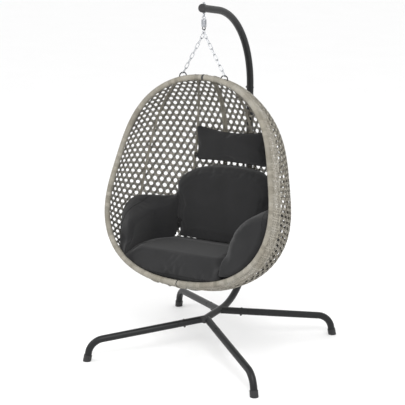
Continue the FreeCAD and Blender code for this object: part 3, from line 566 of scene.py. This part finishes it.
def black_plastic():
    made = Shader("black_plastic", srgb(26, 26, 27), 0.5)
    made.colour(made.ramp(made.noise(60, 2.0), ((0.3, srgb(22, 22, 23)), (0.7, srgb(34, 34, 35)))))
    made.rough(made.spread(made.noise(300), 0.4, 0.62))
    made.bump(made.noise(1800, 2.0), 0.3, 0.0003)
    return made.material


def zinc():
    made = Shader("zinc", srgb(205, 207, 210), 0.34, metallic=1.0)
    made.colour(made.ramp(made.noise(55, 4.0), ((0.3, srgb(150, 153, 158)), (0.7, srgb(204, 206, 209)))))
    made.rough(made.spread(made.noise(120, 4.0), 0.24, 0.48))
    made.bump(made.noise(900, 2.0), 0.15, 0.0003)
    return made.material


def black_steel(name, dark, light, gloss):
    made = Shader(name, srgb(30, 30, 31), gloss)
    stops = ((0.3, srgb(dark, dark, dark)), (0.75, srgb(light, light, light + 2)))
    made.colour(made.ramp(made.noise(70, 4.0), stops))
    made.rough(made.spread(made.noise(220, 3.0), gloss - 0.08, gloss + 0.14))
    made.bump(made.noise(1200, 2.0), 0.2, 0.0003)
    return made.material


def fabric(name, dark, light, thread=0.0011):
    """Woven polyester: two crossing thread waves, slubs and soft large variation."""
    made = Shader(name, dark, 0.93, specular=0.18)
    made.shader.inputs["Sheen Weight"].default_value = 0.12
    made.shader.inputs["Sheen Roughness"].default_value = 0.6
    heights = []
    for stretch in ((1.0, 0.35, 0.2), (0.2, 0.35, 1.0)):
        wave = made.node("ShaderNodeTexWave", {
            "Scale": 1.0 / (thread * 2 * math.pi), "Distortion": 1.2, "Detail": 2.0, "Detail Scale": 3.0,
        }, wave_type="BANDS", bands_direction="DIAGONAL")
        mapping = made.node("ShaderNodeMapping", {"Scale": stretch})
        made.link(made.place, mapping.inputs["Vector"])
        made.link(mapping.outputs["Vector"], wave.inputs["Vector"])
        heights.append(wave.outputs["Fac"])
    weave = made.math("ADD", heights[0], heights[1])
    slub = made.noise(420, 3.0, 0.7)
    patch = made.ramp(made.noise(7, 3.0), ((0.3, dark), (0.7, light)))
    fleck = made.ramp(slub, ((0.25, srgb(215, 215, 215)), (0.75, srgb(255, 255, 255))))
    made.colour(made.mix(None, patch, fleck, "MULTIPLY", 0.8))
    made.rough(made.spread(slub, 0.85, 1.0))
    made.bump(made.math("ADD", weave, slub), 0.22, 0.0005)
    return made.material


MATERIALS = {
    "wicker": wicker(),
    "powder_coat": powder_coat(),
    "black_plastic": black_plastic(),
    "zinc": zinc(),
    "black_steel": black_steel("black_steel", 22, 40, 0.4),
    "black_bolts": black_steel("black_bolts", 28, 48, 0.36),
    "basket_steel": black_steel("basket_steel", 62, 88, 0.5),
    "cushion_fabric": fabric("cushion_fabric", srgb(31, 31, 32), srgb(38, 38, 39)),
}
THREAD = fabric("cushion_thread", srgb(20, 20, 21), srgb(26, 26, 27))
WEBBING = fabric("strap_webbing", srgb(22, 22, 22), srgb(30, 30, 30), 0.0016)


def dress_frame():
    """Every carried-over CAD node takes its slot's material."""
    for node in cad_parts.values():
        for slot in node.material_slots:
            name = slot.material.name.split(".")[0] if slot.material else "powder_coat"
            slot.link = "OBJECT"
            slot.material = MATERIALS.get(name, MATERIALS["powder_coat"])


# ---------------------------------------------------------------- basket pieces

def add_basket():
    egg_map = EggMap(WEAVE_INSET)
    halves = open_weave(egg_map)
    names = {-1: "left", 1: "right"}
    for side, name in names.items():
        piece = halves[side].make(name + "_open_weave", MATERIALS["wicker"])
        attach(piece, "basket")
        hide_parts(name + "_side_weave", name + "_middle_weave", name + "_inner_weave")
        band = Strands(FLAT, WOUND_EDGE_PAINTED_SHADE)
        band_weave(side, band)
        piece = band.make(name + "_rim_band", MATERIALS["wicker"])
        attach(piece, "basket")
        winding = Strands(FLAT, WOUND_EDGE_PAINTED_SHADE)
        rim_winding(side, winding)
        piece = winding.make(name + "_rim_winding", MATERIALS["wicker"])
        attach(piece, "basket")
        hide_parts(name + "_rim_wrap")
        for rib in RIBS:
            winding = Strands(FLAT, WOUND_EDGE_PAINTED_SHADE)
            rib_winding(side, rib, winding)
            piece = winding.make(f"{name}_{rib}_rib_winding", MATERIALS["wicker"])
            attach(piece, "basket")


# ---------------------------------------------------------------- spring

def add_spring():
    """The close coil, which stretches between the spring's loop and its hook."""
    low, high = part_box("hanger_spring")
    wire = COIL_WIRE_R
    radius = (high[0] - low[0]) / 2 - wire
    centre = (low + high) / 2
    count = COIL_TURNS * COIL_STEPS
    at = np.arange(count + 1) / count
    angle = at * COIL_TURNS * 2 * math.pi
    path = np.stack([
        centre[0] + radius * np.cos(angle),
        centre[1] + radius * np.sin(angle),
        low[2] + wire + at * (high[2] - low[2] - 2 * wire),
    ], axis=-1)
    outward = np.stack([np.cos(angle), np.sin(angle), 0 * angle], axis=-1) @ BASKET_ARRAY[:3, :3]
    coil = Strands(ROUND)
    coil.add(to_basket(path), outward, wire, wire, 0.5)
    piece = coil.make("extension_coil", MATERIALS["zinc"])
    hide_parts("hanger_spring")
    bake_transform(piece)


# ---------------------------------------------------------------- cushions

CUSHIONS = {
    # name: (fill, how far a point may move, smoothing passes, free direction, crown on that side)
    "seat_cushion": (0.8, 0.022, 220, (0.0, 0.0, 1.0), 0.010),
    "back_cushion": (0.75, 0.022, 80, (0.0, -0.99, 0.16), 0.012),
    "left_arm_cushion": (0.75, 0.018, 160, (0.85, -0.35, 0.40), 0.006),
    "right_arm_cushion": (0.75, 0.018, 110, (-0.55, -0.45, 0.70), 0.006),
    "head_pillow": (0.85, 0.018, 2, (0.0, -1.0, 0.0), 0.012),
}
SEAMS = {
    # plane that each pad's piped seam lies in: its normal, and how far it is from the pad's middle
    "seat_cushion": ((0.0, 0.0, 1.0), -0.030),
    "back_cushion": ((0.0, 0.99, -0.16), 0.020),
    "left_arm_cushion": ((-0.97, 0.25, 0.0), 0.045),
    "right_arm_cushion": ((0.97, 0.25, 0.0), 0.045),
    "head_pillow": ((0.0, 1.0, 0.0), 0.0),
}
TUCK = (0.006, 0.050)           # a pad keeps its edges within this of its neighbours, which press on it
START_INSET = 0.002             # a pad starts this much inside its CAD box, and then swells
ARM_FRONT_SLOPE = 1.5           # the left arm's front end runs back this steeply towards the egg's wall
ARM_FRONT_EDGE_X = -0.300
ARM_FRONT_EASE = 0.05
ARM_FRONT_DROP = 0.085          # its top is this much lower at the front
SEAT_FRONT_DROP = 0.045         # the seat rolls over its front edge, which is this much lower
SEAT_FRONT_REACH = 0.19         # and this is how far back the roll starts
VOXEL = 0.006
WELD = 0.0002                   # the CAD solids' faces are joined where their corners are this close
PRESSURE = 4.0
GROWTH = 0.02                   # the cover is cut this much larger than the pad, and so it wrinkles
CLEARANCE = 0.0008              # between a pad and the outside of its CAD solid
PILLOW_WAIST = (0.03, 0.05)     # how far the pillow's ends and its long sides pull in
PILLOW_EDGE = 0.12              # thickness of its edge, as a share of its middle
PIPING_R = 0.0021
PIPING_STEP = 0.006
LEAST_SEAM = 40                 # points in a loop that is long enough to be a seam
TAPE_HALF = 0.0026              # half width of a tape
TAPE_THICK = 0.0007
PILLOW_TAPE_HALF = 0.0036
PILLOW_BOW = 0.016              # size of the bows at the pillow's corners
PILLOW_BOW_OUT = 0.018          # in front of its middle
ARM_BOW = 0.020


def new_object(name, mesh):
    made = bpy.data.objects.new(name, mesh)
    bpy.context.scene.collection.objects.link(made)
    return made


def baked(obj):
    """The object's mesh with its modifiers applied, as a new mesh."""
    graph = bpy.context.evaluated_depsgraph_get()
    return bpy.data.meshes.new_from_object(obj.evaluated_get(graph))


def coords(mesh):
    out = np.empty(len(mesh.vertices) * 3)
    mesh.vertices.foreach_get("co", out)
    return out.reshape(-1, 3)


def set_coords(mesh, points):
    mesh.vertices.foreach_set("co", points.ravel())
    mesh.update()


def apply_all(obj):
    """Replaces the object's mesh by its evaluated one and removes the modifiers."""
    mesh = baked(obj)
    obj.modifiers.clear()
    obj.data = mesh


def smooth_step(values, low, high):
    t = np.clip((values - low) / (high - low), 0.0, 1.0)
    return t * t * (3 - 2 * t)


def pillow_form(points):
    """Turns a block into a stuffed pillow: pointed corners, sides that pull in, and thin edges."""
    low, high = (np.array(corner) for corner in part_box("head_pillow"))
    middle = (low + high) / 2
    half = (high - low) / 2
    a, t, b = np.clip(((points - middle) / half).T, -1, 1)
    ends, sides = PILLOW_WAIST
    x = a * (1 - ends * (1 - b * b))
    z = b * (1 - sides * (1 - a * a))
    y = t * (PILLOW_EDGE + (1 - PILLOW_EDGE) * ((1 - a ** 4) * (1 - b ** 4)) ** 0.5)
    return middle + half * np.stack([x, y, z], axis=-1)


def lower_front(points, low, high, drop, reach):
    """Lowers the top of a pad towards its front end."""
    near = np.clip(1 - (points[:, 1] - low[1]) / reach, 0.0, 1.0)
    height = (points[:, 2] - low[2]) / (high[2] - low[2])
    points[:, 2] -= drop * near ** 2 * height


def seat_form(points):
    """Rolls the seat over its front edge."""
    low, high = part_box("seat_cushion")
    out = points.copy()
    lower_front(out, low, high, SEAT_FRONT_DROP, SEAT_FRONT_REACH)
    return out


def left_arm_form(points):
    """Slopes the front end of the left arm cushion back, and lowers its top there."""
    low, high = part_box("left_arm_cushion")
    depth = high[1] - low[1]
    share = (points[:, 1] - low[1]) / depth
    outwards = np.maximum(ARM_FRONT_EDGE_X - points[:, 0], 0.0)
    front = ARM_FRONT_SLOPE * outwards ** 2 / (outwards + ARM_FRONT_EASE)
    out = points.copy()
    lower_front(out, low, high, ARM_FRONT_DROP, depth)
    out[:, 1] = low[1] + front + share * (depth - front)
    return out


FORMS = {"head_pillow": pillow_form, "left_arm_cushion": left_arm_form, "seat_cushion": seat_form}


def solid_tree(node):
    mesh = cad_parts[node].data
    return BVHTree.FromPolygons([v.co for v in mesh.vertices], [p.vertices for p in mesh.polygons])


def looseness(points, node):
    """0 where a neighbouring cushion presses on the pad, 1 away from them."""
    trees = [solid_tree(other) for other in CUSHIONS if other != node]
    gaps = [min(tree.find_nearest(Vector(point))[3] for tree in trees) for point in points]
    return smooth_step(np.array(gaps), *TUCK)


def soft_start(node, passes):
    """A rounded copy of a CAD cushion: remeshed, then relaxed so that its edges turn soft."""
    obj = new_object(node + "_soft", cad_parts[node].data.copy())
    weld = obj.modifiers.new("weld", "WELD")
    weld.merge_threshold = WELD
    remesh = obj.modifiers.new("remesh", "REMESH")
    remesh.mode = "VOXEL"
    remesh.voxel_size = VOXEL
    apply_all(obj)
    if node in FORMS:
        set_coords(obj.data, FORMS[node](coords(obj.data)))
    loose = looseness(coords(obj.data), node)
    group = obj.vertex_groups.new(name="loose")
    for i, weight in enumerate(loose):
        group.add([i], weight, "REPLACE")
    for name, count in (("", 3), ("loose", passes)):
        smooth = obj.modifiers.new("smooth", "SMOOTH")
        smooth.factor = 0.6
        smooth.iterations = count
        smooth.vertex_group = name
    apply_all(obj)
    set_coords(obj.data, refitted(coords(obj.data), node))
    return obj, loose[:, None]


def refitted(points, node):
    """Stretches the points along each axis until they fill the CAD cushion's box again."""
    low, high = (np.array(corner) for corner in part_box(node))
    share = (points - points.min(axis=0)) / np.ptp(points, axis=0)
    return low + START_INSET + share * (high - low - 2 * START_INSET)


def inflate(obj, loose, cap, frames=20):
    """Blows the pad up as cloth, and holds each point within cap of where it started."""
    rest = coords(obj.data)
    scene = bpy.context.scene
    cloth = obj.modifiers.new("cloth", "CLOTH")
    settings = cloth.settings
    settings.use_pressure = True
    settings.uniform_pressure_force = PRESSURE
    settings.effector_weights.gravity = 0.0
    settings.shrink_min = -GROWTH
    settings.quality = 4
    settings.mass = 0.3
    settings.tension_stiffness = 18
    settings.compression_stiffness = 12
    settings.bending_stiffness = 0.6
    cloth.point_cache.frame_start = 1
    cloth.point_cache.frame_end = frames
    for number in range(1, frames + 1):
        scene.frame_set(number)
    moved = coords(baked(obj))
    obj.modifiers.clear()
    scene.frame_set(1)
    shift = moved - rest
    far = np.linalg.norm(shift, axis=1, keepdims=True)
    shift *= loose * np.minimum(1.0, cap / np.maximum(far, 1e-9))
    set_coords(obj.data, rest + shift)


def hold_in(mesh, node, free, crown):
    """Keeps the pad inside its CAD solid, apart from a crown on its free side."""
    tree = solid_tree(node)
    free = Vector(free)
    held = coords(mesh)
    facing = [max(0.0, normal.vector.dot(free)) for normal in mesh.vertex_normals]
    for i, point in enumerate(held):
        point = Vector(point)
        near, normal, _, far = tree.find_nearest(point)
        outside = far if (point - near).dot(normal) > 0 else -far
        room = crown * facing[i] ** 2 * max(0.0, normal.dot(free)) - CLEARANCE
        if outside > room:
            held[i] = near + normal * room
    set_coords(mesh, held)


def seam_loops(mesh, point, normal):
    """Where a plane cuts the pad: each loop as an array of points."""
    work = bmesh.new()
    work.from_mesh(mesh)
    cut = bmesh.ops.bisect_plane(
        work, geom=work.verts[:] + work.edges[:] + work.faces[:], plane_co=point, plane_no=normal
    )
    edges = {item for item in cut["geom_cut"] if isinstance(item, bmesh.types.BMEdge)}
    loops = []
    while edges:
        edge = edges.pop()
        chain = [edge.verts[0], edge.verts[1]]
        grown = True
        while grown:
            grown = False
            for link in chain[-1].link_edges:
                if link in edges:
                    edges.discard(link)
                    chain.append(link.other_vert(chain[-1]))
                    grown = True
                    break
        loops.append(np.array([vert.co[:] for vert in chain]))
    work.free()
    return [loop for loop in loops if len(loop) > LEAST_SEAM]


def evened(loop, spacing):
    """The closed loop, smoothed and evenly spaced."""
    if np.linalg.norm(loop[0] - loop[-1]) < 1e-6:
        loop = loop[:-1]
    for _ in range(12):
        loop = loop / 2 + (np.roll(loop, 1, axis=0) + np.roll(loop, -1, axis=0)) / 4
    closed = np.vstack([loop, loop[:1]])
    length = np.concatenate([[0], np.cumsum(np.linalg.norm(np.diff(closed, axis=0), axis=1))])
    even = np.linspace(0, length[-1], int(length[-1] / spacing) + 1)
    return np.stack([np.interp(even, length, closed[:, i]) for i in range(3)], axis=-1)


def add_piping(node, mesh, point, normal):
    """The piped seam round a pad."""
    seam = Strands(ROUND)
    for loop in seam_loops(mesh, point, normal):
        path = to_basket(evened(loop, PIPING_STEP))
        flat = unit(np.array(normal) @ BASKET_ARRAY[:3, :3])
        seam.add(path, np.tile(flat, (len(path), 1)), PIPING_R, PIPING_R, 0.5)
    if not seam.points:
        return
    piece = seam.make(node + "_piping", THREAD)
    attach(piece, "basket")


def ribbon(strands, path, facing, half_width=TAPE_HALF):
    """A flat tape along a path in the chair's frame; facing says which way its flat side looks."""
    flat = np.tile(np.array(facing) @ BASKET_ARRAY[:3, :3], (len(path), 1))
    strands.add(to_basket(path), flat, half_width, TAPE_THICK, 0.5)


def bow(strands, centre, size):
    """A tied bow in the XZ plane: two drooping loops, a knot and two tails."""
    turn = np.linspace(0, 2 * math.pi, 25)
    for side in (-1, 1):
        loop = np.stack([
            side * size * (0.55 - 0.55 * np.cos(turn)) * 0.6,
            -0.15 * size * np.sin(turn),
            size * (0.62 * np.sin(turn) - 0.25 * (1 - np.cos(turn))),
        ], axis=-1)
        ribbon(strands, centre + loop, (0.35 * side, -1.0, 0.1))
        drop = np.linspace(0, 1, 9)
        tail = np.stack([
            side * size * (0.15 * drop + 0.12 * np.sin(drop * 3.0)),
            -0.1 * size * np.sin(drop * math.pi),
            -1.5 * size * drop,
        ], axis=-1)
        ribbon(strands, centre + tail, (0.2 * side, -1.0, 0.0), 0.0022)
    knot = np.linspace(-0.2, 0.2, 5)[:, None] * size * np.array([[0.0, 0.0, 1.0]])
    ribbon(strands, centre + knot + np.array([0, -0.002, 0]), (0.0, -1.0, 0.0), 0.0034)


def add_ties(pads):
    """The tapes that tie the pillow to the weave, and the back cushion to the left arm cushion."""
    tapes = Strands(FLAT)
    low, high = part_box("head_pillow")
    middle_y = (low[1] + high[1]) / 2
    for side, x in ((-1, low[0]), (1, high[0])):
        corner = np.array([x - side * 0.006, middle_y, high[2] - 0.008])
        start = to_basket(corner)
        direction = unit(np.array([side * 0.75, 0.62, -0.08]) @ BASKET_ARRAY[:3, :3])
        length = float(reach(start[None], direction[None], 0.004)[0])
        at = np.linspace(0, 1, 12)
        sag = -0.004 * np.sin(at * math.pi)
        path = to_world(start + direction * (at * length)[:, None]) + np.array([0, 0, 1.0]) * sag[:, None]
        ribbon(tapes, path, (0.0, -0.3, 1.0), PILLOW_TAPE_HALF)
        loose = np.array([x - side * 0.004, middle_y - PILLOW_BOW_OUT, low[2] + 0.034])
        bow(tapes, loose, PILLOW_BOW)
    back_low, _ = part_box("back_cushion")
    at = Vector((back_low[0] + 0.050, -0.7, back_low[2] + 0.092))
    depths = []
    for name in ("back_cushion", "left_arm_cushion"):
        mesh = pads[name].data
        tree = BVHTree.FromPolygons([v.co for v in mesh.vertices], [p.vertices for p in mesh.polygons])
        hit = tree.ray_cast(at, Vector((0, 1, 0)))[0]
        if hit is not None:
            depths.append(hit[1])
    bow(tapes, np.array([at[0], min(depths) - 0.004, at[2]]), ARM_BOW)
    piece = tapes.make("cushion_ties", WEBBING)
    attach(piece, "basket")


def add_cushions():
    pads = {}
    for name, (fill, cap, passes, free, crown) in CUSHIONS.items():
        obj, loose = soft_start(name, passes)
        inflate(obj, loose, cap)
        if name == "head_pillow":
            set_coords(obj.data, refitted(coords(obj.data), name))
        hold_in(obj.data, name, free, crown)
        soften = obj.modifiers.new("soften", "SMOOTH")
        soften.factor = 0.5
        soften.iterations = 6
        smooth = obj.modifiers.new("subdivide", "SUBSURF")
        smooth.levels = 1
        smooth.render_levels = 1
        apply_all(obj)
        obj.name = name + "_sewn"
        obj.data.materials.clear()
        obj.data.materials.append(MATERIALS["cushion_fabric"])
        obj.data.polygons.foreach_set("use_smooth", np.ones(len(obj.data.polygons), dtype=bool))
        points = coords(obj.data)
        normal, offset = SEAMS[name]
        middle = Vector((points.min(axis=0) + points.max(axis=0)) / 2)
        add_piping(name, obj.data, middle + Vector(normal) * offset, Vector(normal))
        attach(obj, "basket")
        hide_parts(name)
        pads[name] = obj
    add_ties(pads)


# ---------------------------------------------------------------- stage

def add_stage():
    mesh = bpy.data.meshes.new("floor")
    far = FLOOR_HALF
    mesh.from_pydata([(-far, -far, 0), (far, -far, 0), (far, far, 0), (-far, far, 0)], [], [(0, 1, 2, 3)])
    floor = new_object("floor", mesh)
    made = Shader("floor", (0.93, 0.93, 0.93), 0.9, specular=0.1)
    made.colour(made.ramp(made.noise(1.5), ((0.3, (0.925, 0.925, 0.925)), (0.7, (0.935, 0.935, 0.935)))))
    mesh.materials.append(made.material)

    world = bpy.data.worlds.new("studio")
    world.use_nodes = True
    background = world.node_tree.nodes["Background"]
    background.inputs["Color"].default_value = (1.0, 1.0, 1.0, 1.0)
    background.inputs["Strength"].default_value = 1.05
    bpy.context.scene.world = world

    def soft_light(name, place, target, size, watts):
        data = bpy.data.lights.new(name, "AREA")
        data.shape = "DISK"
        data.size = size
        data.energy = watts
        lamp = bpy.data.objects.new(name, data)
        lamp.location = place
        aim = Vector(target) - Vector(place)
        lamp.rotation_euler = aim.to_track_quat("-Z", "Y").to_euler()
        bpy.context.scene.collection.objects.link(lamp)

    soft_light("key", (2.2, -3.4, 4.2), (0, 0, 0.9), 2.4, 130)
    soft_light("fill", (-3.6, -2.2, 3.0), (0, 0, 0.9), 2.4, 50)

    data = bpy.data.cameras.new("camera")
    data.sensor_width = 36.0
    data.lens = CAMERA_LENS
    data.clip_end = 200
    camera = bpy.data.objects.new("camera", data)
    camera.location = CAMERA_PLACE
    camera.rotation_euler = (math.pi / 2 - CAMERA_DOWN, 0.0, CAMERA_ROUND)
    bpy.context.scene.collection.objects.link(camera)
    bpy.context.scene.camera = camera
    bpy.context.scene.view_settings.view_transform = "Standard"


dress_frame()
add_basket()
add_spring()
add_cushions()
add_stage()
